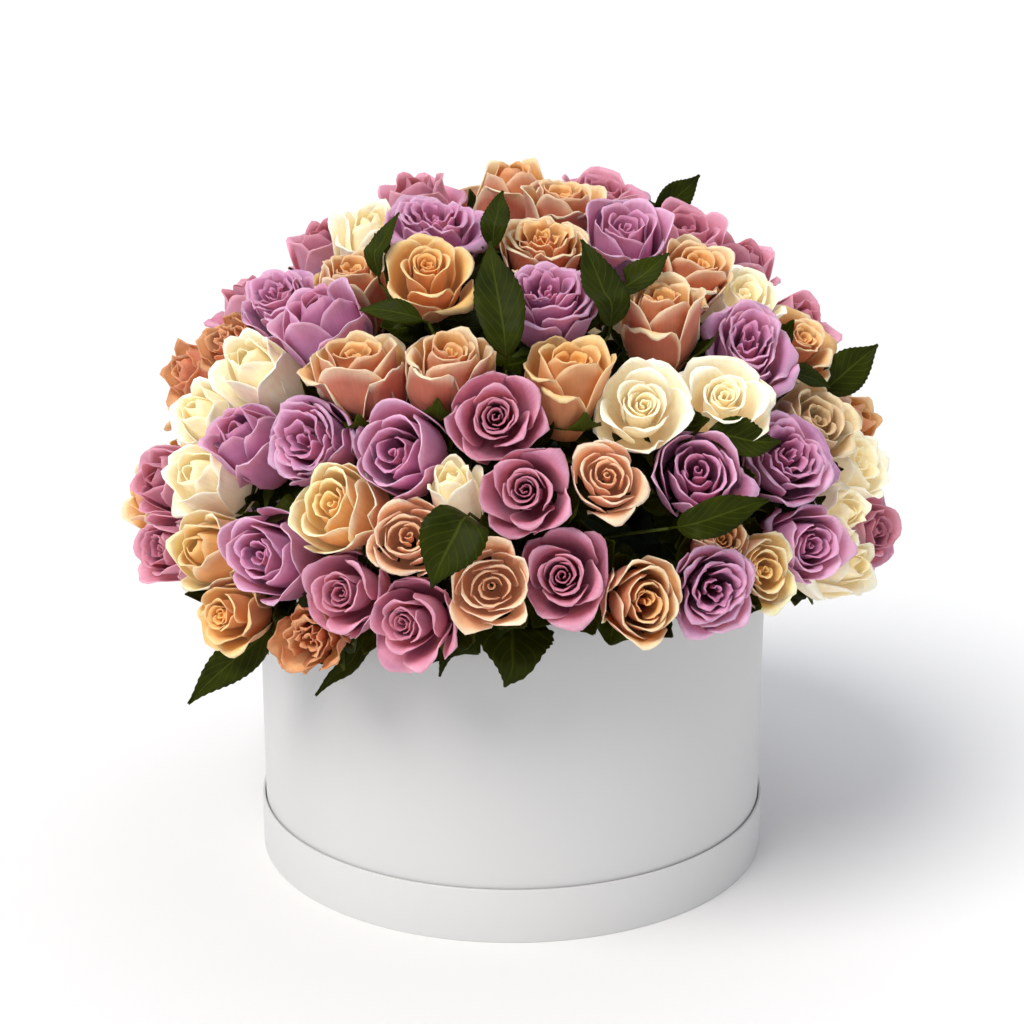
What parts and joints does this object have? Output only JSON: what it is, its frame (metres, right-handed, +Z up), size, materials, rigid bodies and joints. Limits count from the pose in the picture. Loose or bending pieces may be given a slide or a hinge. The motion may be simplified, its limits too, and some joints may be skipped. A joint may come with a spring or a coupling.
{
  "type": "flower hat box",
  "caption": "Round white card hat box standing in its own lid, filled with a full dome of mixed pastel roses and green leaves on floral foam.",
  "frame": {"origin": "middle of the underside of the lid that the box stands in, on the box's axis", "axes": "+Z up along the box's axis, -Y towards the front of the bouquet, +X to the right seen from the front"},
  "size_m": [0.4777, 0.4806, 0.4306],
  "materials": {
    "card": "satin white paper-wrapped card",
    "liner": "thin clear-white waterproof film",
    "foam": "soaked green floral foam, matt",
    "leaf": "living rose leaf and stem, satin green",
    "lilac": "living petals, lilac to mauve, velvet",
    "peach": "living petals, peach to apricot, some dried orange, velvet",
    "cream": "living petals, cream with a warm yellow middle, velvet"
  },
  "bodies": {
    "root": {"box_body": "card", "box_lid": "card", "box_liner": "liner", "floral_foam": "foam", "greens_01": "leaf", "greens_02": "leaf", "greens_03": "leaf", "greens_04": "leaf", "greens_05": "leaf", "greens_06": "leaf", "greens_07": "leaf", "greens_08": "leaf", "greens_09": "leaf", "greens_10": "leaf", "roses_cream_01": "cream", "roses_cream_02": "cream", "roses_cream_03": "cream", "roses_cream_04": "cream", "roses_cream_05": "cream", "roses_cream_06": "cream", "roses_cream_07": "cream", "roses_cream_08": "cream", "roses_cream_09": "cream", "roses_cream_10": "cream", "roses_lilac_01": "lilac", "roses_lilac_02": "lilac", "roses_lilac_03": "lilac", "roses_lilac_04": "lilac", "roses_lilac_05": "lilac", "roses_lilac_06": "lilac", "roses_lilac_07": "lilac", "roses_lilac_08": "lilac", "roses_lilac_09": "lilac", "roses_lilac_10": "lilac", "roses_lilac_11": "lilac", "roses_lilac_12": "lilac", "roses_lilac_13": "lilac", "roses_lilac_14": "lilac", "roses_lilac_15": "lilac", "roses_lilac_16": "lilac", "roses_lilac_17": "lilac", "roses_peach_01": "peach", "roses_peach_02": "peach", "roses_peach_03": "peach", "roses_peach_04": "peach", "roses_peach_05": "peach", "roses_peach_06": "peach", "roses_peach_07": "peach", "roses_peach_08": "peach", "roses_peach_09": "peach", "roses_peach_10": "peach", "roses_peach_11": "peach", "roses_peach_12": "peach", "roses_peach_13": "peach", "roses_peach_14": "peach", "roses_peach_15": "peach", "roses_peach_16": "peach", "roses_peach_17": "peach", "roses_peach_18": "peach", "roses_peach_19": "peach"}
  },
  "joints": []
}
